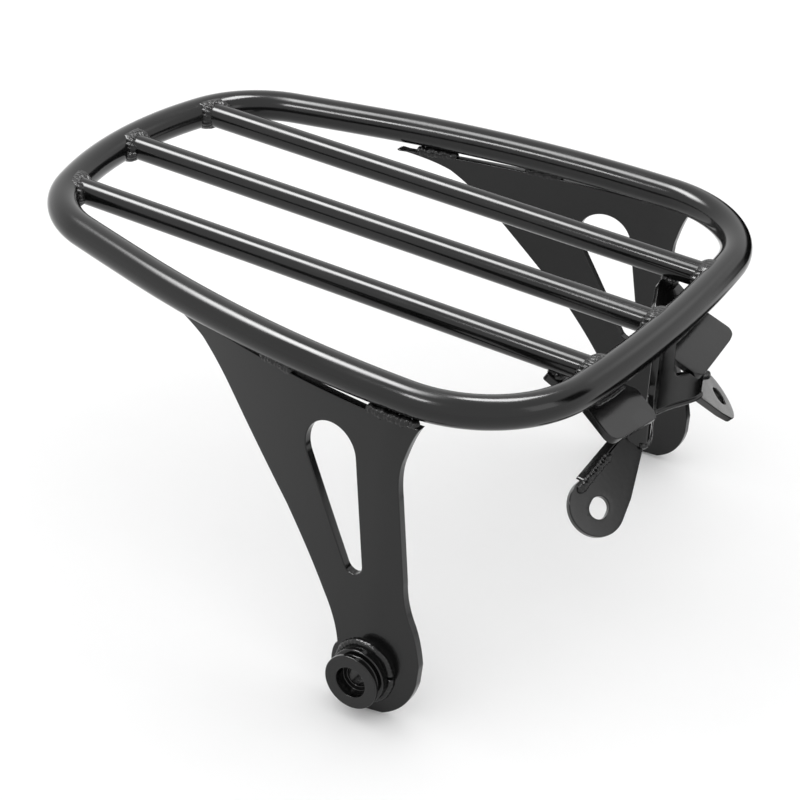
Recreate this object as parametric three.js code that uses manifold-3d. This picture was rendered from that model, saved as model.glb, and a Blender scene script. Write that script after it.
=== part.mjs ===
// Rigid welded luggage rack for the rear fender of a motorcycle.
// Millimetres, +Z up, +X to the front, +Y to the left.
// The origin is midway between the two strut bushes, on their common bolt line.
// Every piece is drawn in the deck frame, whose z = 0 is the plane of the hoop's centreline,
// and the finished group is then set down on the bolt line.
import * as THREE from 'three';
import { mergeVertices } from 'three/addons/utils/BufferGeometryUtils.js';
import Module from 'manifold-3d';

const wasm = await Module();
wasm.setup();

// Where the bolt line passes, in the deck frame.
const BOLT_X = 60;
const BOLT_Z = -142;

// Clear gap between pieces that touch.
const GAP = 0.3;

// Hoop: a round tube bent into a closed loop, narrow at the back.
const TUBE_R = 8;
const HOOP_REAR_X = -185;
const HOOP_ARCS = [
  { length: 56.1, bend: 0.0053 },
  { radius: 52.8, turn: 56.3 },
  { length: 48.6, bend: 0.0003 },
  { length: 162.3, bend: 0.0017 },
];
const FRONT_CORNER_R = 58.4;
const FRONT_HALF = { length: 74.6, bend: 0.0014 };
const HOOP_STEPS = 76;
const HOOP_SIDES = 12;

// Slats: three straight rods across the hoop.
const SLAT_R = 6.35;
const SLAT_PITCH = 56.4;
const SLAT_Z = 0.3;

// Side plates: rolled sheet that leans outwards below the hoop.
const PLATE_T = 4.76;
const PLATE_TOP_Z = -9.6;
const PLATE_HALF_WIDTH = 125.5;
const PLATE_SPLAY = 0.183;
const PLATE_ROLL = 0.001;
const PLATE_LEAN = 0.045;
const PLATE_TWIST = 0.00015;
const CREASE_X = 62;
const CREASE_SLOPE = 0.12;
const BOLT_HOLE_R = 5.2;

// Strut bushes.
const BUSH_FACE_Y = 152.2;
const BUSH_R = 13.9;
const BUSH_GROOVE_R = 11.4;
const BUSH_COUNTERBORE_R = 7.8;
const BUSH_COUNTERBORE_DEPTH = 6;

// Front bracket: a bowed web, two cheeks and two ears pressed from one sheet.
const SHEET_T = 3.5;
const EAR_CENTRE = new THREE.Vector3(132.8, 62, -64.5);
const EAR_NORMAL = new THREE.Vector3(0.636, 0.397, 0.661).normalize();
const EAR_RUN = new THREE.Vector3(0.061, 0.826, -0.561);
const EAR_R = 14.2;
const EAR_BULGE = 1.2;
const EAR_LENGTH = 37;
const EAR_NECK_REAR = 4;
const EAR_NECK_FRONT = 7.2;
const SLOT_R = 4.6;
const SLOT_TRAVEL = 1.8;

// Mounting tabs: two sloped plates between the side slats and the bracket.
const TAB_T = 4;
const TAB_SLOPE = -0.559;
const TAB_RISE = 0.105;
const TAB_Z = 42.6;

// Ribs along the ears.
const RIB_T = 4.4;
const RIB_DEPTH = 8;

const PAINT = 0x0b0b0c;

const deck = new THREE.Group();
deck.position.set(-BOLT_X, 0, -BOLT_Z);

const rack = new THREE.Group();
rack.add(deck);

function paint(roughness) {
  return new THREE.MeshStandardMaterial({ color: PAINT, roughness, metalness: 0 });
}

function addPiece(name, geometry, roughness = 0.18) {
  const mesh = new THREE.Mesh(geometry, paint(roughness));
  mesh.name = name;
  deck.add(mesh);
  return mesh;
}

// A closed geometry as a manifold solid.
function solid(geometry) {
  const bare = geometry.clone();
  bare.deleteAttribute('normal');
  bare.deleteAttribute('uv');
  const merged = mergeVertices(bare, 1e-3);
  return new wasm.Manifold(new wasm.Mesh({
    numProp: 3,
    vertProperties: Float32Array.from(merged.attributes.position.array),
    triVerts: Uint32Array.from(merged.index.array),
  }));
}

function geometryOf(manifold) {
  const mesh = manifold.getMesh();
  const geometry = new THREE.BufferGeometry();
  geometry.setAttribute('position', new THREE.BufferAttribute(mesh.vertProperties, 3));
  geometry.setIndex(new THREE.BufferAttribute(mesh.triVerts, 1));
  geometry.computeVertexNormals();
  return geometry;
}

// The biggest body of a cut that left crumbs.
function largest(manifold) {
  const pieces = manifold.decompose();
  pieces.sort((a, b) => b.volume() - a.volume());
  return pieces[0];
}

// The same solid on the right-hand side of the rack.
function mirrored(geometry) {
  const copy = geometry.clone();
  copy.scale(1, -1, 1);
  const index = copy.index.array;
  for (let i = 0; i < index.length; i += 3) {
    [index[i], index[i + 1]] = [index[i + 1], index[i]];
  }
  copy.computeVertexNormals();
  return copy;
}

function addPair(name, manifold, roughness) {
  const left = geometryOf(manifold);
  addPiece(`${name}_left`, left, roughness);
  addPiece(`${name}_right`, mirrored(left), roughness);
}

// A flat plate: the outline in its own plane, extruded down from a face set by three vectors.
function plateOn(outline, thickness, origin, along, normal) {
  const geometry = new THREE.ExtrudeGeometry(outline, {
    depth: thickness,
    bevelEnabled: false,
    curveSegments: 10,
  });
  geometry.translate(0, 0, -thickness);
  const across = new THREE.Vector3().crossVectors(normal, along).normalize();
  const placed = new THREE.Matrix4().makeBasis(along, across, normal).setPosition(origin);
  geometry.applyMatrix4(placed);
  return solid(geometry);
}

function outlineOf(points) {
  return new THREE.Shape(points.map(([u, v]) => new THREE.Vector2(u, v)));
}

// An outline in (x, z), extruded along +Y between two half widths.
function sideways(outline, yLow, yHigh) {
  const geometry = new THREE.ExtrudeGeometry(outline, {
    depth: yHigh - yLow,
    bevelEnabled: false,
    curveSegments: 8,
  });
  geometry.rotateX(Math.PI / 2);
  geometry.translate(0, yHigh, 0);
  return solid(geometry);
}

// ---------------------------------------------------------------- hoop

// Walks one arc of the plan outline and appends its points.
function walkArc(state, length, bend, steps) {
  const step = length / steps;
  for (let i = 0; i < steps; i += 1) {
    const middle = state.heading - (bend * step) / 2;
    state.x += step * Math.cos(middle);
    state.y += step * Math.sin(middle);
    state.heading -= bend * step;
    state.points.push(new THREE.Vector3(state.x, state.y, 0));
  }
}

// The left half of the centreline, from the rear middle to the front middle.
function hoopHalf() {
  const state = { x: HOOP_REAR_X, y: 0, heading: Math.PI / 2, points: [] };
  state.points.push(new THREE.Vector3(state.x, state.y, 0));
  for (const arc of HOOP_ARCS) {
    const length = arc.length ?? arc.radius * THREE.MathUtils.degToRad(arc.turn);
    walkArc(state, length, arc.bend ?? 1 / arc.radius, 24);
  }
  const cornerTurn = state.heading + Math.PI / 2 - FRONT_HALF.length * FRONT_HALF.bend;
  walkArc(state, FRONT_CORNER_R * cornerTurn, 1 / FRONT_CORNER_R, 24);
  walkArc(state, FRONT_HALF.length, FRONT_HALF.bend, 24);
  return state.points;
}

function hoopCurve() {
  const half = hoopHalf();
  half[half.length - 1].y = 0;
  const other = half.slice(1, -1).reverse().map((p) => new THREE.Vector3(p.x, -p.y, 0));
  return new THREE.CatmullRomCurve3([...half, ...other], true, 'catmullrom', 0.5);
}

const HOOP = hoopCurve();
const HOOP_POINTS = HOOP.getSpacedPoints(400);

// A closed loop of tube has no ends, so a closed TubeGeometry is one shut surface.
function hoopTube(radius) {
  return new THREE.TubeGeometry(HOOP, HOOP_STEPS, radius, HOOP_SIDES, true);
}

// The hoop's front or rear centreline x at a half width y.
function hoopEndX(y, front) {
  let best = null;
  for (const point of HOOP_POINTS) {
    const onEnd = front ? point.x > 60 : point.x < -120;
    if (onEnd && (best === null || Math.abs(point.y - y) < Math.abs(best.y - y))) best = point;
  }
  return best.x;
}

const hoopSolid = solid(hoopTube(TUBE_R));
const hoopClear = solid(hoopTube(TUBE_R + GAP));
addPiece('hoop_tube', geometryOf(hoopSolid));

// ---------------------------------------------------------------- slats

function rodAlongX(radius, xLow, xHigh, y) {
  const geometry = new THREE.CylinderGeometry(radius, radius, xHigh - xLow, 16);
  geometry.rotateZ(Math.PI / 2);
  geometry.translate((xLow + xHigh) / 2, y, SLAT_Z);
  return solid(geometry);
}

function addSlat(name, y) {
  const rod = rodAlongX(SLAT_R, hoopEndX(y, false), hoopEndX(y, true), y);
  addPiece(name, geometryOf(rod.subtract(hoopClear)));
}

// Fillet weld round the end of a slat, coped to the hoop.
function slatWeld(y, front) {
  const inward = front ? -1 : 1;
  const bead = new THREE.SphereGeometry(1, 12, 8);
  bead.scale(5.2, SLAT_R + 2.5, SLAT_R + 2.3);
  const x = hoopEndX(y, front);
  bead.translate(x + inward * 6.2, y, SLAT_Z);
  const around = rodAlongX(SLAT_R + GAP, x - 40, x + 40, y);
  const ring = solid(bead).subtract(around).subtract(hoopClear);
  return largest(ring);
}

const SLATS = { left: SLAT_PITCH, center: 0, right: -SLAT_PITCH };
for (const [side, y] of Object.entries(SLATS)) {
  addSlat(`slat_${side}`, y);
  addPiece(`slat_weld_${side}_rear`, geometryOf(slatWeld(y, false)), 0.3);
  addPiece(`slat_weld_${side}_front`, geometryOf(slatWeld(y, true)), 0.3);
}

// ---------------------------------------------------------------- side plates

// Half width of the plate's outer face at a point of the deck frame.
function plateHalfWidth(x, z) {
  const rolled = PLATE_HALF_WIDTH + PLATE_SPLAY * x - PLATE_ROLL * x * x;
  const leaning = (PLATE_LEAN + PLATE_TWIST * x) * z;
  const creased = CREASE_SLOPE * Math.max(0, x - CREASE_X);
  return rolled - leaning - creased;
}

function plateOutline() {
  const shape = new THREE.Shape();
  shape.moveTo(-82, PLATE_TOP_Z);
  shape.quadraticCurveTo(-64, -12.5, -54, -17);
  shape.quadraticCurveTo(-43, -24, -33.4, -33.9);
  shape.lineTo(6.8, -75.9);
  shape.quadraticCurveTo(23, -95, 33, -111);
  shape.quadraticCurveTo(41.5, -123, 43.4, -134.5);
  shape.absarc(60, -143.2, 19.4, Math.PI - 0.45, Math.PI * 1.5 - 0.1, false);
  shape.lineTo(71.5, -161);
  shape.quadraticCurveTo(84.5, -155, 87, -140);
  shape.lineTo(87.4, -130);
  shape.quadraticCurveTo(85.5, -119, 81.7, -111);
  shape.quadraticCurveTo(76.4, -101, 75.6, -89.6);
  shape.lineTo(69.4, -48);
  shape.quadraticCurveTo(67, -35, 69.6, -27);
  shape.quadraticCurveTo(72.6, -15, 78, PLATE_TOP_Z);
  shape.closePath();
  return shape;
}

// The tapered window: a large round end on top and a small one below.
function windowOutline() {
  const top = { x: 30.3, z: -38.3, r: 14.6 };
  const low = { x: 48.2, z: -89.6, r: 5.2 };
  const away = Math.atan2(low.z - top.z, low.x - top.x);
  const span = Math.hypot(low.x - top.x, low.z - top.z);
  const lean = Math.acos((top.r - low.r) / span);
  const shape = new THREE.Shape();
  shape.absarc(top.x, top.z, top.r, away + lean, away - lean + 2 * Math.PI, false);
  shape.absarc(low.x, low.z, low.r, away - lean, away + lean, false);
  shape.closePath();
  return shape;
}

// A thick slab that follows the rolled, leaning surface of the plate.
function rolledSlab(grow) {
  const xLow = -100;
  const xHigh = 110;
  const zLow = -180;
  const zHigh = 4;
  const across = 14;
  const down = 3;
  const slab = new THREE.BoxGeometry(xHigh - xLow, 1, zHigh - zLow, across, 1, down);
  slab.translate((xLow + xHigh) / 2, 0, (zLow + zHigh) / 2);
  const position = slab.attributes.position;
  for (let i = 0; i < position.count; i += 1) {
    const outer = plateHalfWidth(position.getX(i), position.getZ(i));
    const isOuter = position.getY(i) > 0;
    position.setY(i, isOuter ? outer + grow : outer - PLATE_T - grow);
  }
  return solid(slab);
}

const slabSolid = rolledSlab(0);
const slabClear = rolledSlab(GAP);

function boltHole(radius) {
  const geometry = new THREE.CylinderGeometry(radius, radius, 60, 20);
  geometry.translate(BOLT_X, 140, BOLT_Z);
  return solid(geometry);
}

const sidePlate = slabSolid
  .intersect(sideways(plateOutline(), 100, 160))
  .subtract(sideways(windowOutline(), 100, 160))
  .subtract(boltHole(BOLT_HOLE_R));
addPair('side_plate', sidePlate, 0.2);

// ---------------------------------------------------------------- plate welds

// A bead under the tube, along the plate's top edge, between two stations.
function stitchWeld(xLow, xHigh) {
  const steps = 3;
  const points = [];
  for (let i = 0; i <= steps; i += 1) {
    const x = xLow + ((xHigh - xLow) * i) / steps;
    const y = plateHalfWidth(x, PLATE_TOP_Z) - PLATE_T / 2;
    points.push(new THREE.Vector3(x, y, PLATE_TOP_Z + 0.3));
  }
  const path = new THREE.CatmullRomCurve3(points);
  const section = new THREE.Shape();
  section.absellipse(0, 0, 2.6, 5, 0, 2 * Math.PI);
  const bead = new THREE.ExtrudeGeometry(section, {
    steps,
    curveSegments: 4,
    extrudePath: path,
  });
  const clearEdge = new THREE.Shape();
  clearEdge.moveTo(-120, -60);
  clearEdge.lineTo(120, -60);
  clearEdge.lineTo(120, PLATE_TOP_Z + GAP);
  clearEdge.lineTo(-120, PLATE_TOP_Z + GAP);
  clearEdge.closePath();
  const plateRoom = slabClear.intersect(sideways(clearEdge, 100, 160));
  const cut = solid(bead).subtract(plateRoom).subtract(hoopClear);
  return largest(cut);
}

addPair('plate_weld_rear', stitchWeld(-80, -50), 0.3);
addPair('plate_weld_middle', stitchWeld(-17, 6), 0.3);
addPair('plate_weld_front', stitchWeld(46, 77), 0.3);

// ---------------------------------------------------------------- strut bushes

// Turned bush: base flange, groove, outer flange, counterbore and bolt hole.
function bushBlank() {
  const base = BUSH_FACE_Y - 14.2;
  const face = BUSH_FACE_Y;
  const floor = face - BUSH_COUNTERBORE_DEPTH;
  const profile = [
    [BOLT_HOLE_R, base],
    [BUSH_R, base],
    [BUSH_R, face - 6.2],
    [BUSH_GROOVE_R, face - 5.4],
    [BUSH_GROOVE_R, face - 3],
    [BUSH_R, face - 2.4],
    [BUSH_R, face],
    [BUSH_COUNTERBORE_R, face],
    [BUSH_COUNTERBORE_R, floor],
    [BOLT_HOLE_R, floor],
    [BOLT_HOLE_R, base],
  ];
  const points = profile.map(([r, y]) => new THREE.Vector2(r, y));
  const geometry = new THREE.LatheGeometry(points, 24);
  geometry.translate(BOLT_X, 0, BOLT_Z);
  return solid(geometry);
}

addPair('strut_bush', bushBlank().subtract(slabClear), 0.25);

// Fillet weld round the foot of the bush.
function bushWeld() {
  const ring = new THREE.TorusGeometry(BUSH_R + 0.4, 2.3, 8, 24);
  ring.rotateX(Math.PI / 2);
  ring.translate(BOLT_X, plateHalfWidth(BOLT_X, BOLT_Z) + 0.4, BOLT_Z);
  const clearance = new THREE.CylinderGeometry(BUSH_R + GAP, BUSH_R + GAP, 60, 24);
  clearance.translate(BOLT_X, 140, BOLT_Z);
  const cut = solid(ring).subtract(slabClear).subtract(solid(clearance));
  return largest(cut);
}

addPair('bush_weld', bushWeld(), 0.3);

// ---------------------------------------------------------------- mounting tabs

function tabHeight(x, y) {
  return TAB_Z + TAB_SLOPE * x + TAB_RISE * y;
}

// Upper face of the left tab, as a plane with its own axes.
const TAB_ORIGIN = new THREE.Vector3(120, 40, tabHeight(120, 40));
const TAB_NORMAL = new THREE.Vector3(-TAB_SLOPE, -TAB_RISE, 1).normalize();
const TAB_ALONG = new THREE.Vector3(1, 0, TAB_SLOPE).normalize();

// A tab's outline from plan points, as distances along and across its plane.
function tabOutline(plan) {
  const across = new THREE.Vector3().crossVectors(TAB_NORMAL, TAB_ALONG);
  return outlineOf(plan.map(([x, y]) => {
    const point = new THREE.Vector3(x, y, tabHeight(x, y)).sub(TAB_ORIGIN);
    return [point.dot(TAB_ALONG), point.dot(across)];
  }));
}

const TAB_PLAN = [
  [98.5, 50.5], [104, 36], [124.6, 18], [136.6, 21.4], [138.9, 24], [138.2, 38],
  [137.2, 56], [136.2, 60.4], [133.6, 62], [118, 57.8], [98.5, 61],
];

// The tab with room to spare on both faces.
function tabSolid(grow) {
  const origin = TAB_ORIGIN.clone().addScaledVector(TAB_NORMAL, grow);
  return plateOn(tabOutline(TAB_PLAN), TAB_T + 2 * grow, origin, TAB_ALONG, TAB_NORMAL);
}

addPair('mount_tab', tabSolid(0), 0.2);

// Weld between the rear of a tab and the side slat above it.
function tabWeld() {
  const bead = new THREE.SphereGeometry(1, 10, 8);
  bead.scale(5, 6.2, 2.6);
  bead.translate(101.5, SLAT_PITCH, SLAT_Z - SLAT_R - 1.1);
  const rod = rodAlongX(SLAT_R + GAP, 60, 140, SLAT_PITCH);
  return largest(solid(bead).subtract(tabSolid(GAP)).subtract(rod));
}

addPair('tab_weld', tabWeld(), 0.3);

// ---------------------------------------------------------------- front bracket

// Plan line of the web's front face: set back in the middle, forward at the cheeks.
function webPlan() {
  const front = [[127, 0], [129, 7], [131.5, 13], [134.4, 18.5], [136.6, 24], [137.3, 29]];
  const cheek = [128.4, 33.8];
  const left = new THREE.CatmullRomCurve3(front.map(([x, y]) => new THREE.Vector3(x, y, 0)));
  const half = [...left.getPoints(8), new THREE.Vector3(cheek[0], cheek[1], 0)];
  const right = half.slice(1).reverse().map((p) => new THREE.Vector3(p.x, -p.y, 0));
  return [...right, ...half];
}

// Moves a plan line to its rear side by the sheet's thickness.
function offsetPlan(line, distance) {
  return line.map((point, i) => {
    const before = line[Math.max(i - 1, 0)];
    const after = line[Math.min(i + 1, line.length - 1)];
    const along = new THREE.Vector3().subVectors(after, before).normalize();
    return new THREE.Vector3(point.x - along.y * distance, point.y + along.x * distance, 0);
  });
}

// Height profile of the web seen from the front: neck, two notches, cheeks.
function webFront() {
  const half = [
    [0, -8], [8.6, -8], [9.6, -27], [12, -30.5], [19, -31], [23, -34.4],
    [35.6, -34.4], [35.6, -42.6], [33.6, -43.6], [30.4, -49.5], [27.5, -47.5],
    [18.5, -45.6], [9, -46.4], [0, -47.2],
  ];
  const other = half.slice(1, -1).reverse().map(([y, z]) => [-y, z]);
  return outlineOf([...half, ...other]);
}

function webSolid() {
  const front = webPlan();
  const back = offsetPlan(front, SHEET_T).reverse();
  const plan = outlineOf([...front, ...back].map((p) => [p.x, p.y]));
  const slab = new THREE.ExtrudeGeometry(plan, { depth: 60, bevelEnabled: false });
  slab.translate(0, 0, -60);
  const profile = new THREE.ExtrudeGeometry(webFront(), { depth: 60, bevelEnabled: false });
  const facing = new THREE.Matrix4().makeBasis(
    new THREE.Vector3(0, 1, 0),
    new THREE.Vector3(0, 0, 1),
    new THREE.Vector3(1, 0, 0),
  );
  profile.applyMatrix4(facing);
  profile.translate(100, 0, 0);
  return solid(slab).intersect(solid(profile));
}

// Ear: a lollipop with a slot for its screw.
function earOutline() {
  const shape = new THREE.Shape();
  shape.moveTo(-EAR_LENGTH, EAR_NECK_REAR);
  shape.lineTo(-8.5, 11.3);
  shape.absarc(0, EAR_BULGE, EAR_R, Math.PI / 2 + 0.55, -Math.PI / 2 - 0.1, true);
  shape.lineTo(-12, -12.2);
  shape.lineTo(-EAR_LENGTH, -EAR_NECK_FRONT);
  shape.closePath();
  const slot = new THREE.Path();
  const reach = SLOT_TRAVEL / 2;
  slot.absarc(reach, 0, SLOT_R, -Math.PI / 2, Math.PI / 2, false);
  slot.absarc(-reach, 0, SLOT_R, Math.PI / 2, Math.PI * 1.5, false);
  shape.holes.push(slot);
  return shape;
}

function earSolid() {
  return plateOn(earOutline(), SHEET_T, EAR_CENTRE, EAR_RUN, EAR_NORMAL);
}

// Lip along the web's lower edge.
function webLip() {
  const line = webPlan().slice(1, -1).map((p) => new THREE.Vector3(p.x - 0.4, p.y, -46.2));
  const path = new THREE.CatmullRomCurve3(line);
  const section = new THREE.Shape();
  section.absellipse(0, 0, 1.9, 1.9, 0, 2 * Math.PI);
  return solid(new THREE.ExtrudeGeometry(section, {
    steps: 16,
    curveSegments: 3,
    extrudePath: path,
  }));
}

const leftEar = earSolid();
const rightEar = leftEar.mirror([0, 1, 0]);
const tabRoom = tabSolid(GAP);
const bracket = webSolid()
  .add(webLip())
  .add(leftEar)
  .add(rightEar)
  .subtract(hoopClear)
  .subtract(tabRoom)
  .subtract(tabRoom.mirror([0, 1, 0]));
addPiece('saddle_bracket', geometryOf(largest(bracket)));

// ---------------------------------------------------------------- ear ribs

// Bar behind the rear edge of an ear, standing square to it.
function earRib() {
  const across = new THREE.Vector3().crossVectors(EAR_NORMAL, EAR_RUN).normalize();
  const top = EAR_CENTRE.clone().addScaledVector(EAR_RUN, -EAR_LENGTH + 3);
  top.addScaledVector(across, EAR_NECK_REAR + 1);
  const low = EAR_CENTRE.clone().addScaledVector(EAR_RUN, -6).addScaledVector(across, 12.2);
  const along = new THREE.Vector3().subVectors(low, top);
  const length = along.length();
  along.normalize();
  const facing = new THREE.Vector3(1, -along.x / along.y, 0).normalize();
  const outline = outlineOf([[0, 0.6], [length, 0.6], [length - 2, -3], [0, -RIB_DEPTH]]);
  return plateOn(outline, RIB_T, top, along, facing);
}

const earRoom = plateOn(
  earOutline(),
  SHEET_T + 2 * GAP,
  EAR_CENTRE.clone().addScaledVector(EAR_NORMAL, GAP),
  EAR_RUN,
  EAR_NORMAL,
);
addPair('ear_rib', largest(earRib().subtract(earRoom).subtract(webSolid())), 0.25);

export default rack;
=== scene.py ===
"""Looks of a welded motorcycle fender rack: fine surfaces, black enamel and studio light."""

import math

import bmesh
import bpy
import numpy as np
from mathutils import Matrix, Vector
from mathutils.geometry import delaunay_2d_cdt


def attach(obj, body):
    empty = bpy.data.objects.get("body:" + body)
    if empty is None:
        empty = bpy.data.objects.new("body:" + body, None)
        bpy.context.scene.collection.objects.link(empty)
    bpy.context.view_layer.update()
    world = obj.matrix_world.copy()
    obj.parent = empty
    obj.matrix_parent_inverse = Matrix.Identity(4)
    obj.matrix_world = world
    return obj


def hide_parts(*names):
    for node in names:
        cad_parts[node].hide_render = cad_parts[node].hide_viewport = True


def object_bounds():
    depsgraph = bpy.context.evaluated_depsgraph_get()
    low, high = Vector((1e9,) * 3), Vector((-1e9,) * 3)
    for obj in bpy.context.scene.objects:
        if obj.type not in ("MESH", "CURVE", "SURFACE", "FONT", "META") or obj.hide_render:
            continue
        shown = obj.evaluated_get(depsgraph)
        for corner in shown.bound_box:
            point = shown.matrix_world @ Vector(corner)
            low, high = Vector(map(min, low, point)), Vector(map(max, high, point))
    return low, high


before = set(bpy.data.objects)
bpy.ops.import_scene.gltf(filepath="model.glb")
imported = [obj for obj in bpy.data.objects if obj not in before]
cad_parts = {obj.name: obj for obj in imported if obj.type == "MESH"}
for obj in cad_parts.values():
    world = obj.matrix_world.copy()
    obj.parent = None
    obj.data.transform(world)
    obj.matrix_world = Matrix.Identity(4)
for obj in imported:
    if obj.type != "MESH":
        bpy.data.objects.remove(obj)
size_before = [list(corner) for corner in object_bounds()]

# Sizes are in millimetres in the deck frame, where z = 0 is the plane of the hoop's centreline.
# The tube, slats and bushes stand a few hundredths inside the CAD solids, to keep to their box.
DECK = np.array([60.0, 0.0, -142.0])
RNG = np.random.default_rng(7)

HOOP_R = 7.96
SLAT_R = 6.33
SLAT_Z = 0.3
SLAT_PITCH = 56.4
PLATE_T = 4.76
PLATE_TOP_Z = -9.6
PLATE_HALF_WIDTH = 125.5
PLATE_SPLAY = 0.183
PLATE_ROLL = 0.001
PLATE_LEAN = 0.045
PLATE_TWIST = 0.00015
CREASE_X = 62
CREASE_SLOPE = 0.12
BOLT = (60.0, -142.0)
BOLT_HOLE_R = 5.2
BUSH_FACE_Y = 152.15
BUSH_R = 13.9
BUSH_GROOVE_R = 11.4
BUSH_COUNTERBORE_R = 7.8
BUSH_COUNTERBORE_DEPTH = 6.0
BUSH_WELD_R = 14.4
SHEET_T = 3.5
TAB_T = 4.0
TAB_SLOPE = -0.559
TAB_RISE = 0.105
TAB_Z = 42.6
RIB_T = 4.4
LEFT = 1
RIGHT = -1
SIDE_NAMES = {LEFT: "left", RIGHT: "right"}


# ---------------------------------------------------------------- enamel


def link_noise(tree, scale, detail, coords):
    noise = tree.nodes.new("ShaderNodeTexNoise")
    noise.inputs["Scale"].default_value = scale
    noise.inputs["Detail"].default_value = detail
    tree.links.new(coords, noise.inputs["Vector"])
    return noise.outputs["Fac"]


def remap(tree, value, low, high, to_low, to_high):
    node = tree.nodes.new("ShaderNodeMapRange")
    node.interpolation_type = "SMOOTHSTEP"
    for name, number in (
        ("From Min", low),
        ("From Max", high),
        ("To Min", to_low),
        ("To Max", to_high),
    ):
        node.inputs[name].default_value = number
    tree.links.new(value, node.inputs["Value"])
    return node.outputs["Result"]


def blend_colors(tree, factor, dark, light):
    node = tree.nodes.new("ShaderNodeMix")
    node.data_type = "RGBA"
    node.inputs["A"].default_value = (*dark, 1)
    node.inputs["B"].default_value = (*light, 1)
    tree.links.new(factor, node.inputs["Factor"])
    return node.outputs["Result"]


def enamel(name, base, roughness, peel, grain):
    """Black enamel: uneven gloss, orange peel, random greyer blotches, and a slightly greyer tone
    on sharp edges that is a painted highlight.
    """
    material = bpy.data.materials.new(name)
    material.use_nodes = True
    tree = material.node_tree
    shader = tree.nodes["Principled BSDF"]
    coords = tree.nodes.new("ShaderNodeTexCoord").outputs["Object"]
    cloud = link_noise(tree, 38, 4, coords)
    gloss = remap(tree, cloud, 0.3, 0.7, roughness * 0.75, roughness * 1.35)
    tree.links.new(gloss, shader.inputs["Roughness"])
    # Sharp convex edges (high pointiness) get a greyer base colour: a painted highlight along the
    # edges.
    edge = tree.nodes.new("ShaderNodeNewGeometry").outputs["Pointiness"]
    painted_edge_highlight = remap(tree, edge, 0.52, 0.6, 0, 1)
    tone = tree.nodes.new("ShaderNodeMath")
    tone.operation = "MAXIMUM"
    tree.links.new(painted_edge_highlight, tone.inputs[0])
    # The low-frequency noise is random tone in the enamel. The maximum with the edge mask mixes
    # it with the painted edge highlight.
    tree.links.new(remap(tree, link_noise(tree, 9, 2, coords), 0.4, 0.8, 0, 0.5), tone.inputs[1])
    color = blend_colors(
        tree, tone.outputs[0], [base * 0.8] * 3, [base * 2.4, base * 2.4, base * 2.5]
    )
    tree.links.new(color, shader.inputs["Base Color"])
    shader.inputs["Specular IOR Level"].default_value = 0.33
    shader.inputs["Coat Weight"].default_value = 0.1
    shader.inputs["Coat Roughness"].default_value = 0.05
    bump = tree.nodes.new("ShaderNodeBump")
    bump.inputs["Strength"].default_value = peel
    bump.inputs["Distance"].default_value = 0.0003
    tree.links.new(link_noise(tree, grain, 3, coords), bump.inputs["Height"])
    tree.links.new(bump.outputs["Normal"], shader.inputs["Normal"])
    return material


GLOSS = enamel("gloss_enamel", 0.004, 0.15, 0.05, 700)
SHEET = enamel("sheet_enamel", 0.004, 0.16, 0.07, 520)
WELD = enamel("weld_enamel", 0.005, 0.12, 0.7, 1100)


# ---------------------------------------------------------------- pieces


def to_row(points):
    return (np.asarray(points, float) - DECK) / 1000


def add_piece(name, points, faces, material, nodes):
    """A smooth-shaded piece from deck-frame points, standing for the named CAD nodes."""
    mesh = bpy.data.meshes.new(name)
    mesh.from_pydata([tuple(p) for p in to_row(points)], [], [tuple(f) for f in faces])
    work = bmesh.new()
    work.from_mesh(mesh)
    bmesh.ops.remove_doubles(work, verts=work.verts, dist=1e-7)
    bmesh.ops.recalc_face_normals(work, faces=work.faces)
    work.to_mesh(mesh)
    work.free()
    mesh.shade_smooth()
    mesh.materials.append(material)
    piece = bpy.data.objects.new(name, mesh)
    bpy.context.scene.collection.objects.link(piece)
    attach(piece, "root")
    if nodes:
        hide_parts(*nodes)
    return piece


def harden(piece):
    """Keeps broad faces flat in shading and leaves the roundness to the bevels."""
    modifier = piece.modifiers.new("flat_faces", "WEIGHTED_NORMAL")
    modifier.weight = 100
    modifier.keep_sharp = False


def grid_faces(rows, columns, closed_rows, closed_columns):
    faces = []
    for i in range(rows if closed_rows else rows - 1):
        for k in range(columns if closed_columns else columns - 1):
            a = i * columns + k
            b = i * columns + (k + 1) % columns
            c = ((i + 1) % rows) * columns + (k + 1) % columns
            d = ((i + 1) % rows) * columns + k
            faces.append((a, b, c, d))
    return faces


def sweep(path, radius, sides, closed=False, up=(0, 0, 1), flatten=1.0):
    """Rings round a path: radius(distance, angle) in mm; flatten scales the ring along up."""
    path = np.asarray(path, float)
    if closed:
        ahead, behind = np.roll(path, -1, 0), np.roll(path, 1, 0)
    else:
        ahead = np.vstack([path[1:], path[-1:]])
        behind = np.vstack([path[:1], path[:-1]])
    along = ahead - behind
    along /= np.linalg.norm(along, axis=1)[:, None]
    aside = np.cross(along, np.array(up, float))
    aside /= np.linalg.norm(aside, axis=1)[:, None]
    lift = np.cross(aside, along) * flatten
    steps = np.linalg.norm(np.diff(path, axis=0), axis=1)
    distance = np.concatenate([[0], np.cumsum(steps)])
    angles = np.linspace(0, 2 * math.pi, sides, endpoint=False)
    rings = []
    for i, point in enumerate(path):
        r = np.array([radius(distance[i], a) for a in angles])[:, None]
        spokes = np.cos(angles)[:, None] * aside[i] + np.sin(angles)[:, None] * lift[i]
        rings.append(point + r * spokes)
    faces = grid_faces(len(path), sides, closed, True)
    if not closed:
        faces.append(tuple(range(sides)))
        faces.append(tuple(range(len(path) * sides - sides, len(path) * sides)))
    return np.vstack(rings), faces


def resample(path, step, closed=False):
    """The same line with points a given distance apart."""
    path = np.asarray(path, float)
    if closed:
        path = np.vstack([path, path[:1]])
    lengths = np.concatenate([[0], np.cumsum(np.linalg.norm(np.diff(path, axis=0), axis=1))])
    count = max(int(lengths[-1] / step), 3)
    stations = np.linspace(0, lengths[-1], count + 1)
    if closed:
        stations = stations[:-1]
    return np.column_stack([np.interp(stations, lengths, column) for column in path.T])


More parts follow.
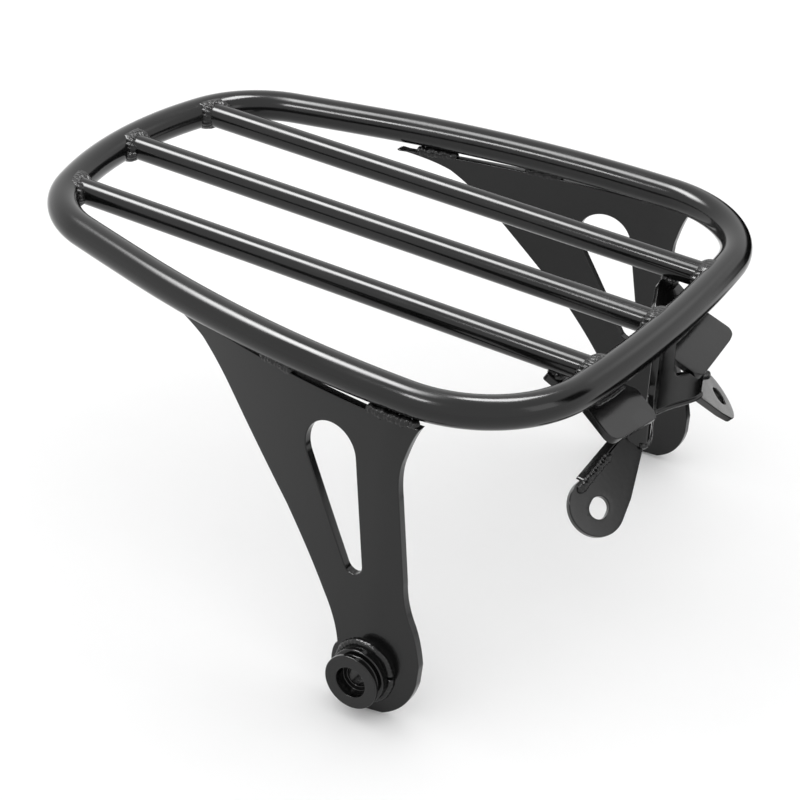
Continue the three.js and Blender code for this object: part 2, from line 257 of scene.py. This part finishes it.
def add_bead(name, path, radius, nodes=(), flatten=1.0, pitch=2.1):
    """A rippled weld bead along a line, tapered at both ends."""
    path = resample(path, 0.3)
    total = np.sum(np.linalg.norm(np.diff(path, axis=0), axis=1))
    lumps = RNG.uniform(-0.12, 0.12, 64)
    swing = RNG.uniform(0, 6.28)

    def radius_at(distance, angle):
        ripple = abs(math.sin(math.pi * distance / pitch + 0.5 * math.cos(angle)))
        lump = lumps[int(distance / pitch) % 64] + 0.06 * math.sin(3 * angle + swing + distance)
        ends = min(distance, total - distance) / radius
        taper = math.sqrt(max(0.0, 1 - (1 - min(ends, 1)) ** 2))
        return radius * max(taper, 0.04) * (0.86 + 0.16 * ripple + lump)

    points, faces = sweep(path, radius_at, 18, flatten=flatten)
    return add_piece(name, points, faces, WELD, nodes)


# ---------------------------------------------------------------- flat work


def bezier(start, control, end, count=14):
    t = np.linspace(0, 1, count)[:, None]
    a, b, c = (np.array(p, float) for p in (start, control, end))
    return (1 - t) ** 2 * a + 2 * t * (1 - t) * b + t**2 * c


def arc(center, radius, start, end, count=40):
    t = np.linspace(start, end, count)
    return np.column_stack([center[0] + radius * np.cos(t), center[1] + radius * np.sin(t)])


def rounded(corners, radius):
    """A closed outline whose corners are eased."""
    corners = np.asarray(corners, float)
    parts = []
    for i, corner in enumerate(corners):
        before, after = corners[i - 1], corners[(i + 1) % len(corners)]
        back, on = before - corner, after - corner
        reach_back = min(radius, np.linalg.norm(back) * 0.45)
        reach_on = min(radius, np.linalg.norm(on) * 0.45)
        start = corner + back / np.linalg.norm(back) * reach_back
        end = corner + on / np.linalg.norm(on) * reach_on
        parts.append(bezier(start, corner, end, 7))
    return np.vstack(parts)


def signed_area(loop):
    x, y = loop[:, 0], loop[:, 1]
    return 0.5 * np.sum(x * np.roll(y, -1) - np.roll(x, -1) * y)


def turned(loop, outer):
    """The loop with material on its left."""
    return loop if (signed_area(loop) > 0) == outer else loop[::-1]


def inset(loop, distance):
    tangent = np.roll(loop, -1, 0) - np.roll(loop, 1, 0)
    tangent /= np.linalg.norm(tangent, axis=1)[:, None] + 1e-12
    return loop + distance * np.column_stack([-tangent[:, 1], tangent[:, 0]])


def inside(points, loops):
    """Even-odd test of points against all loops."""
    odd = np.zeros(len(points), bool)
    for loop in loops:
        following = np.roll(loop, -1, 0)
        for (x1, y1), (x2, y2) in zip(loop, following):
            spans = (y1 > points[:, 1]) != (y2 > points[:, 1])
            if y1 != y2:
                cross = x1 + (points[:, 1] - y1) * (x2 - x1) / (y2 - y1)
                odd ^= spans & (points[:, 0] < cross)
    return odd


def fill(loops, spacing):
    """Triangles over the area inside the loops, with a grid of points in its interior."""
    rim = np.vstack(loops)
    low, high = rim.min(0), rim.max(0)
    xs = np.arange(low[0] + spacing / 2, high[0], spacing)
    ys = np.arange(low[1] + spacing / 2, high[1], spacing)
    inner = np.array([(x, y) for x in xs for y in ys])
    gaps = np.sqrt(((inner[:, None, :] - rim[None]) ** 2).sum(2)).min(1)
    inner = inner[(gaps > spacing * 0.45) & inside(inner, loops)]
    points = np.vstack([rim, inner])
    edges, base = [], 0
    for loop in loops:
        count = len(loop)
        edges += [(base + i, base + (i + 1) % count) for i in range(count)]
        base += count
    result = delaunay_2d_cdt([Vector(p) for p in points], edges, [], 0, 1e-6)
    spots = np.array([tuple(v) for v in result[0]])
    triangles = np.array(result[2])
    return spots, triangles[inside(spots[triangles].mean(1), loops)]


def add_flat(name, outer, holes, thickness, place, nodes, bevel=0.6, spacing=5.0, step=1.0):
    """A sheet with rounded edges; place(u, v, depth) puts outline points in the deck frame."""
    loops = [turned(resample(outer, step, True), True)]
    loops += [turned(resample(hole, step * 0.7, True), False) for hole in holes]
    turns = np.linspace(0, math.pi / 2, 5)
    profile = [(bevel * (1 - math.sin(t)), bevel * (1 - math.cos(t))) for t in turns]
    profile += [(d, thickness - h) for d, h in reversed(profile)]
    points, faces = [], []
    base = 0
    for loop in loops:
        for d, h in profile:
            ring = inset(loop, d)
            points.append(place(ring[:, 0], ring[:, 1], np.full(len(ring), h)))
        wall = grid_faces(len(profile), len(loop), False, True)
        faces += [tuple(base + i for i in f) for f in wall]
        base += len(profile) * len(loop)
    flat, triangles = fill([inset(loop, bevel) for loop in loops], spacing)
    for depth in (0.0, thickness):
        points.append(place(flat[:, 0], flat[:, 1], np.full(len(flat), depth)))
        faces += [tuple(base + i for i in t) for t in triangles]
        base += len(flat)
    piece = add_piece(name, np.vstack(points), faces, SHEET, nodes)
    harden(piece)
    return piece


def plane_place(origin, along, normal, side):
    """Places a flat outline drawn for the left side, mirrored for the right."""
    origin, along, normal = (np.array(v, float) for v in (origin, along, normal))
    along /= np.linalg.norm(along)
    normal /= np.linalg.norm(normal)
    across = np.cross(normal, along)
    across /= np.linalg.norm(across)

    def place(u, v, depth):
        spot = origin + u[:, None] * along + v[:, None] * across - depth[:, None] * normal
        return spot * np.array([1, side, 1])

    return place


# ---------------------------------------------------------------- hoop and slats


def walk(points, heading, length, bend, steps=60):
    step = length / steps
    for _ in range(steps):
        middle = heading - bend * step / 2
        x, y = points[-1]
        points.append((x + step * math.cos(middle), y + step * math.sin(middle)))
        heading -= bend * step
    return heading


def hoop_half():
    points, heading = [(-185.0, 0.0)], math.pi / 2
    heading = walk(points, heading, 56.1, 0.0053)
    heading = walk(points, heading, 52.8 * math.radians(56.3), 1 / 52.8)
    heading = walk(points, heading, 48.6, 0.0003)
    heading = walk(points, heading, 162.3, 0.0017)
    turn = heading + math.pi / 2 - 74.6 * 0.0014
    heading = walk(points, heading, 58.4 * turn, 1 / 58.4)
    walk(points, heading, 74.6, 0.0014)
    return np.array(points)


HALF = hoop_half()
HALF[-1, 1] = 0.0
LOOP = np.vstack([HALF, HALF[-2:0:-1] * [1, -1]])
HOOP = resample(np.column_stack([LOOP, np.zeros(len(LOOP))]), 2.0, True)


def hoop_end(y, front):
    """The hoop's front or rear centreline x at a half width y."""
    if front:
        end = HALF[HALF[:, 0] > 90][::-1]
    else:
        end = HALF[HALF[:, 0] < -130]
    return float(np.interp(abs(y), end[:, 1], end[:, 0]))


def add_hoop():
    points, faces = sweep(HOOP, lambda distance, angle: HOOP_R, 48, closed=True)
    add_piece("hoop_tube_fine", points, faces, GLOSS, ["hoop_tube"])


def add_slat(name, y):
    path = resample([[hoop_end(y, False), y, SLAT_Z], [hoop_end(y, True), y, SLAT_Z]], 6)
    points, faces = sweep(path, lambda distance, angle: SLAT_R, 48)
    add_piece(f"slat_{name}_fine", points, faces, GLOSS, [f"slat_{name}"])
    for end, front in (("rear", False), ("front", True)):
        add_slat_weld(f"slat_weld_{name}_{end}", y, front)


def hoop_face(y, z, front):
    """Where the hoop's inner wall stands at a width and a height."""
    inward = -1 if front else 1
    return hoop_end(y, front) + inward * math.sqrt(max(HOOP_R**2 - z * z, 0.5))


def add_slat_weld(node, y, front):
    """Fillet of small scallops round the end of a slat."""
    inward = -1 if front else 1
    count, rows = 132, 9
    phase = RNG.uniform(0, 6.28)
    sizes = RNG.uniform(0.8, 1.25, 22)
    points = []
    for k in range(count):
        turn = 2 * math.pi * k / count
        scallop = abs(math.sin(turn * 11 + phase)) ** 0.6
        width = 2.5 * sizes[int(turn * 22 / 6.2832) % 22] * (0.85 + 0.25 * scallop)
        out = np.array([0, math.cos(turn), math.sin(turn)])
        high = np.clip(SLAT_Z + (SLAT_R + width) * out[2], -7.4, 7.4)
        wide = y + (SLAT_R + width) * out[1]
        on_hoop = np.array([hoop_face(wide, high, front) - inward * 0.25, wide, high])
        root = np.array([0, y, SLAT_Z]) + (SLAT_R - 0.2) * out
        on_slat = root + [hoop_face(root[1], root[2], front) + inward * (width + 0.9), 0, 0]
        swell = out * 0.75 + np.array([inward * 0.65, 0, 0])
        for t in np.linspace(0, 1, rows):
            bulge = math.sin(math.pi * t) * (0.55 + 0.5 * scallop)
            points.append((1 - t) * on_hoop + t * on_slat + bulge * swell)
    faces = grid_faces(count, rows, True, False)
    add_piece(f"{node}_fine", np.array(points), faces, WELD, [node])


# ---------------------------------------------------------------- side plates


def plate_half_width(x, z):
    """Outer face of a side plate: rolled along x, leaning with z, creased near the front."""
    rolled = PLATE_HALF_WIDTH + PLATE_SPLAY * x - PLATE_ROLL * x * x
    leaning = (PLATE_LEAN + PLATE_TWIST * x) * z
    return rolled - leaning - CREASE_SLOPE * np.maximum(0, x - CREASE_X)


def plate_outline():
    return np.vstack([
        bezier((-82, PLATE_TOP_Z), (-64, -12.5), (-54, -17)),
        bezier((-54, -17), (-43, -24), (-33.4, -33.9)),
        bezier((6.8, -75.9), (23, -95), (33, -111)),
        bezier((33, -111), (41.5, -123), (43.4, -134.5)),
        arc((60, -143.2), 19.4, math.pi - 0.4, math.pi * 1.5 - 0.1),
        bezier((71.5, -161), (84.5, -155), (87, -140)),
        bezier((87.4, -130), (85.5, -119), (81.7, -111)),
        bezier((81.7, -111), (76.4, -101), (75.6, -89.6)),
        bezier((69.4, -48), (67, -35), (69.6, -27)),
        bezier((69.6, -27), (72.6, -15), (76, PLATE_TOP_Z)),
    ])


def window_outline():
    top, low = np.array([30.3, -38.3]), np.array([48.2, -89.6])
    away = math.atan2(low[1] - top[1], low[0] - top[0])
    lean = math.acos((14.6 - 5.2) / np.linalg.norm(low - top))
    return np.vstack([
        arc(top, 14.6, away + lean, away - lean + 2 * math.pi, 60),
        arc(low, 5.2, away - lean, away + lean, 24),
    ])


def add_side(side):
    word = SIDE_NAMES[side]

    def place(x, z, depth):
        return np.column_stack([x, side * (plate_half_width(x, z) - depth), z])

    bolt = arc(BOLT, BOLT_HOLE_R, 0, 2 * math.pi, 48)[:-1]
    holes = [window_outline(), bolt]
    nodes = [f"side_plate_{word}"]
    add_flat(f"side_plate_{word}_fine", plate_outline(), holes, PLATE_T, place, nodes)
    for name, low, high in (("rear", -73, -51), ("middle", -16, 5), ("front", 47, 74.5)):
        xs = np.linspace(low, high, 30)
        ys = side * (plate_half_width(xs, PLATE_TOP_Z) - PLATE_T / 2)
        path = np.column_stack([xs, ys, np.full(30, PLATE_TOP_Z + 0.4)])
        node = f"plate_weld_{name}_{word}"
        add_bead(f"{node}_fine", path, 3.0, [node], flatten=0.9)
    add_bush(side)


# ---------------------------------------------------------------- strut bushes


def bush_profile():
    """Radius and distance from the outer face, with eased corners."""
    return rounded([
        (BOLT_HOLE_R, 13.2), (BUSH_R, 13.2), (BUSH_R, 6.2), (BUSH_GROOVE_R, 5.4),
        (BUSH_GROOVE_R, 3.0), (BUSH_R, 2.4), (BUSH_R, 0.0), (BUSH_COUNTERBORE_R, 0.0),
        (BUSH_COUNTERBORE_R, BUSH_COUNTERBORE_DEPTH), (BOLT_HOLE_R, BUSH_COUNTERBORE_DEPTH),
    ], 0.6)


def add_bush(side):
    word = SIDE_NAMES[side]
    profile = bush_profile()
    turns = np.linspace(0, 2 * math.pi, 72, endpoint=False)
    points = []
    for r, back in profile:
        y = side * (BUSH_FACE_Y - back)
        points += [(BOLT[0] + r * math.cos(t), y, BOLT[1] + r * math.sin(t)) for t in turns]
    faces = grid_faces(len(profile), 72, True, True)
    name = f"strut_bush_{word}"
    piece = add_piece(f"{name}_fine", np.array(points), faces, GLOSS, [name])
    harden(piece)
    ring = np.linspace(0.2, 2 * math.pi + 0.1, 120)
    xs = BOLT[0] + BUSH_WELD_R * np.cos(ring)
    zs = BOLT[1] + BUSH_WELD_R * np.sin(ring)
    ys = side * (plate_half_width(xs, zs) + 0.3)
    path = np.column_stack([xs, ys, zs])
    points, faces = sweep(path, bush_bead, 16, up=(0, 1, 0))
    node = f"bush_weld_{word}"
    add_piece(f"{node}_fine", points, faces, WELD, [node])


def bush_bead(distance, angle):
    scallop = abs(math.sin(math.pi * distance / 2.3))
    return 1.75 + 0.3 * scallop + 0.12 * math.sin(distance * 0.7 + angle)


# ---------------------------------------------------------------- front bracket

TAB_PLAN = [
    (98.5, 50.5), (104, 36), (124.6, 18), (136.6, 21.4), (138.9, 24), (138.2, 38),
    (137.2, 56), (136.2, 60.4), (133.6, 62), (118, 57.8), (98.5, 61),
]
EAR_CENTRE = np.array([132.8, 62.0, -64.5])
EAR_NORMAL = np.array([0.636, 0.397, 0.661])
EAR_RUN = np.array([0.061, 0.826, -0.561])
EAR_R = 14.2
EAR_BULGE = 1.2
SLOT_R = 4.6
SLOT_TRAVEL = 1.8
WEB_PLAN = [
    (127, 0), (129, 7), (131.5, 13), (134.4, 18.5), (136.6, 24), (137.3, 29), (128.4, 33.8),
]


def tab_point(x, y):
    return np.array([x, y, TAB_Z + TAB_SLOPE * x + TAB_RISE * y])


def tab_plane():
    along = np.array([1, 0, TAB_SLOPE]) / math.hypot(1, TAB_SLOPE)
    normal = np.array([-TAB_SLOPE, -TAB_RISE, 1.0])
    normal /= np.linalg.norm(normal)
    return tab_point(120, 40), along, normal


def add_tab(side):
    origin, along, normal = tab_plane()
    across = np.cross(normal, along)
    spots = [tab_point(x, y) - origin for x, y in TAB_PLAN]
    outline = rounded([(p @ along, p @ across) for p in spots], 1.6)
    name = f"mount_tab_{SIDE_NAMES[side]}"
    place = plane_place(origin, along, normal, side)
    add_flat(f"{name}_fine", outline, [], TAB_T, place, [name], spacing=4.0)
    node = f"tab_weld_{SIDE_NAMES[side]}"
    y = side * SLAT_PITCH
    path = [(97, y, -7.0), (106, y, -8.2)]
    add_bead(f"{node}_fine", path, 3.0, [node], pitch=2.4)
    under = [(121.0, 52.0), (121.6, 39.0), (121.2, 25.0)]
    path = [tab_point(x, w) * [1, side, 1] + [0, 0, 0.2] for x, w in under]
    add_bead(f"tab_top_weld_{SIDE_NAMES[side]}", path, 0.9, pitch=1.8)


def web_point(y):
    """Front face of the web in plan, and the direction towards its rear."""
    plan = np.array(WEB_PLAN, float)
    at = np.abs(y)
    x = np.interp(at, plan[:, 1], plan[:, 0])
    ahead = np.interp(at + 0.6, plan[:, 1], plan[:, 0])
    behind = np.interp(at - 0.6, plan[:, 1], plan[:, 0])
    slope = (ahead - behind) / 1.2
    slope = np.where(at < 0.6, 0, slope)
    length = np.sqrt(1 + slope**2)
    return x, -1 / length, np.sign(y) * slope / length


def web_outline():
    half = [
        (0, -4), (8.6, -4), (9.6, -27), (12, -30.5), (19, -31), (23, -34.4), (33.6, -34.4),
        (33.6, -43.6), (30.4, -49.0), (27.5, -47.5), (18.5, -45.8), (9, -46.4), (0, -47.2),
    ]
    other = [(-y, z) for y, z in half[-2:0:-1]]
    return rounded(half + other, 1.2)


def add_web():
    def place(y, z, depth):
        x, back_x, back_y = web_point(y)
        return np.column_stack([x + depth * back_x, y + depth * back_y, z])

    nodes = ["saddle_bracket"]
    add_flat("bracket_web", web_outline(), [], SHEET_T, place, nodes, spacing=2.4)
    ys = np.linspace(-30, 30, 80)
    x = web_point(ys)[0]
    path = np.column_stack([x - 0.8, ys, np.full(80, -46.4)])
    points, faces = sweep(resample(path, 1.0), lambda distance, angle: 1.7, 20)
    add_piece("bracket_lip", points, faces, SHEET, [])
    neck = [(127.4, -8.6, -7.6), (126.6, 0, -7.4), (127.4, 8.6, -7.6)]
    add_bead("bracket_neck_weld", neck, 2.2)


def ear_outline():
    return np.vstack([
        [(-37, 4)],
        [(-8.5, 11.3)],
        arc((0, EAR_BULGE), EAR_R - 0.04, math.pi / 2 + 0.55, -math.pi / 2 - 0.1, 60),
        [(-12, -12.2)],
        [(-37, -7.2)],
    ])


def slot_outline():
    return np.vstack([
        arc((SLOT_TRAVEL / 2, 0), SLOT_R, -math.pi / 2, math.pi / 2, 24),
        arc((-SLOT_TRAVEL / 2, 0), SLOT_R, math.pi / 2, math.pi * 1.5, 24),
    ])


def add_ear(side):
    word = SIDE_NAMES[side]
    place = plane_place(EAR_CENTRE, EAR_RUN, EAR_NORMAL, side)
    holes = [slot_outline()]
    add_flat(f"bracket_ear_{word}", ear_outline(), holes, SHEET_T, place, [], spacing=3.0)
    add_rib(side)


def add_rib(side):
    """Bar behind an ear's rear edge, with its weld along the joint."""
    word = SIDE_NAMES[side]
    across = np.cross(EAR_NORMAL, EAR_RUN)
    across /= np.linalg.norm(across)
    top = EAR_CENTRE - 34 * EAR_RUN + 5 * across
    low = EAR_CENTRE - 6 * EAR_RUN + 12.2 * across
    along = low - top
    length = float(np.linalg.norm(along))
    along /= length
    facing = np.array([1, -along[0] / along[1], 0])
    outline = rounded([(0, 0.6), (length, 0.6), (length - 2, -3), (0, -8)], 0.8)
    node = f"ear_rib_{word}"
    place = plane_place(top, along, facing, side)
    add_flat(f"{node}_fine", outline, [], RIB_T, place, [node], bevel=0.5, spacing=3.0)
    start = top + 9 * along - 1.2 * across
    stop = low - 1.2 * across + 5.5 * along
    path = [start * [1, side, 1], stop * [1, side, 1]]
    add_bead(f"rib_ear_weld_{word}", path, 2.1, pitch=1.9)


# ---------------------------------------------------------------- studio


def add_floor():
    low = min(corner[2] for corner in size_before)
    bpy.ops.mesh.primitive_plane_add(size=12, location=(0, 0, low - 0.0006))
    floor = bpy.context.object
    floor.name = "floor"
    material = bpy.data.materials.new("pale_floor")
    material.use_nodes = True
    tree = material.node_tree
    shader = tree.nodes["Principled BSDF"]
    coords = tree.nodes.new("ShaderNodeTexCoord").outputs["Object"]
    cloud = remap(tree, link_noise(tree, 3, 3, coords), 0.3, 0.7, 0, 1)
    color = blend_colors(tree, cloud, (0.9, 0.9, 0.9), (0.93, 0.93, 0.93))
    tree.links.new(color, shader.inputs["Base Color"])
    shader.inputs["Roughness"].default_value = 0.9
    floor.data.materials.append(material)


def softbox(name, location, target, width, height, strength, softness):
    """A panel seen only in reflections, clear at its rim; at zero strength it is a black flag."""
    half_w, half_h = width / 2, height / 2
    corners = [
        (-half_w, -half_h, 0), (half_w, -half_h, 0), (half_w, half_h, 0), (-half_w, half_h, 0),
    ]
    mesh = bpy.data.meshes.new(name)
    mesh.from_pydata(corners, [], [(0, 1, 2, 3)])
    panel = bpy.data.objects.new(name, mesh)
    bpy.context.scene.collection.objects.link(panel)
    panel.location = location
    panel.rotation_mode = "QUATERNION"
    panel.rotation_quaternion = (Vector(target) - Vector(location)).to_track_quat("-Z", "Y")
    material = bpy.data.materials.new(name)
    material.use_nodes = True
    tree = material.node_tree
    tree.nodes.clear()
    split = tree.nodes.new("ShaderNodeSeparateXYZ")
    tree.links.new(tree.nodes.new("ShaderNodeTexCoord").outputs["Object"], split.inputs[0])
    fades = []
    for axis, half in (("X", half_w), ("Y", half_h)):
        fades.append(fade(tree, split.outputs[axis], half, softness))
    product = tree.nodes.new("ShaderNodeMath")
    product.operation = "MULTIPLY"
    tree.links.new(fades[0], product.inputs[0])
    tree.links.new(fades[1], product.inputs[1])
    glow = tree.nodes.new("ShaderNodeEmission")
    glow.inputs["Strength"].default_value = strength
    mixed = tree.nodes.new("ShaderNodeMixShader")
    tree.links.new(product.outputs[0], mixed.inputs[0])
    tree.links.new(tree.nodes.new("ShaderNodeBsdfTransparent").outputs[0], mixed.inputs[1])
    tree.links.new(glow.outputs[0], mixed.inputs[2])
    output = tree.nodes.new("ShaderNodeOutputMaterial")
    tree.links.new(mixed.outputs[0], output.inputs["Surface"])
    mesh.materials.append(material)
    panel.visible_camera = False
    panel.visible_diffuse = False
    panel.visible_shadow = False


def fade(tree, position, half, softness):
    """One at the middle of a panel, falling to zero at its rim."""
    away = tree.nodes.new("ShaderNodeMath")
    away.operation = "ABSOLUTE"
    tree.links.new(position, away.inputs[0])
    return remap(tree, away.outputs[0], half * (1 - softness), half, 1, 0)


def add_world():
    world = bpy.data.worlds.new("white_tent")
    world.use_nodes = True
    background = world.node_tree.nodes["Background"]
    background.inputs["Color"].default_value = (1, 1, 1, 1)
    background.inputs["Strength"].default_value = 1.18
    bpy.context.scene.world = world


def add_camera():
    """Raised three-quarter view of the front right, rolled a little."""
    azimuth, elevation, roll = (math.radians(a) for a in (30.21, 31.08, -3.79))
    flat = math.cos(elevation)
    back = Vector((flat * math.sin(azimuth), -flat * math.cos(azimuth), math.sin(elevation)))
    right = (-back).cross(Vector((0, 0, 1))).normalized()
    down = (-back).cross(right)
    turned_right = math.cos(roll) * right + math.sin(roll) * down
    turned_down = -math.sin(roll) * right + math.cos(roll) * down
    matrix = Matrix((turned_right, -turned_down, back)).transposed().to_4x4()
    matrix.translation = (0.48248, -0.95243, 0.71570)
    camera = bpy.data.objects.new("camera", bpy.data.cameras.new("camera"))
    bpy.context.scene.collection.objects.link(camera)
    camera.matrix_world = matrix
    camera.data.lens = 115.05
    camera.data.sensor_width = 36
    bpy.context.scene.camera = camera


add_hoop()
for slat_name, slat_y in (("left", SLAT_PITCH), ("center", 0.0), ("right", -SLAT_PITCH)):
    add_slat(slat_name, slat_y)
add_web()
for which in (LEFT, RIGHT):
    add_side(which)
    add_tab(which)
    add_ear(which)

bpy.context.scene.view_settings.view_transform = "Standard"
add_floor()
add_world()
softbox("overhead", (-0.62, -0.12, 1.05), (-0.2, -0.1, 0.14), 0.62, 0.95, 26, 0.8)
softbox("corner_panel", (-0.065, 0.3, 1.05), (0.035, -0.12, 0.15), 0.34, 0.3, 24, 0.06)
softbox("far_panel", (-0.22, -0.69, 0.74), (-0.117, 0.107, 0.146), 0.26, 0.14, 24, 0.06)
softbox("front_glow", (0.35, 0.85, 0.8), (0.07, -0.04, 0.15), 0.7, 0.5, 1.9, 1.0)
softbox("ear_panel", (0.462, -0.127, 0.389), (0.073, -0.062, 0.078), 0.2, 0.24, 2.4, 0.08)
softbox("ear_flag", (0.49, 0.135, 0.4), (0.073, -0.062, 0.078), 0.31, 0.34, 0, 0.5)
softbox("far_flag", (0.1, 0.6, 0.1), (0.07, 0.06, 0.08), 0.6, 0.36, 0, 0.4)
softbox("web_flag", (0.17, 0.21, -0.019), (0.17, 0.21, 1.0), 0.3, 0.3, 0, 0.5)
add_camera()
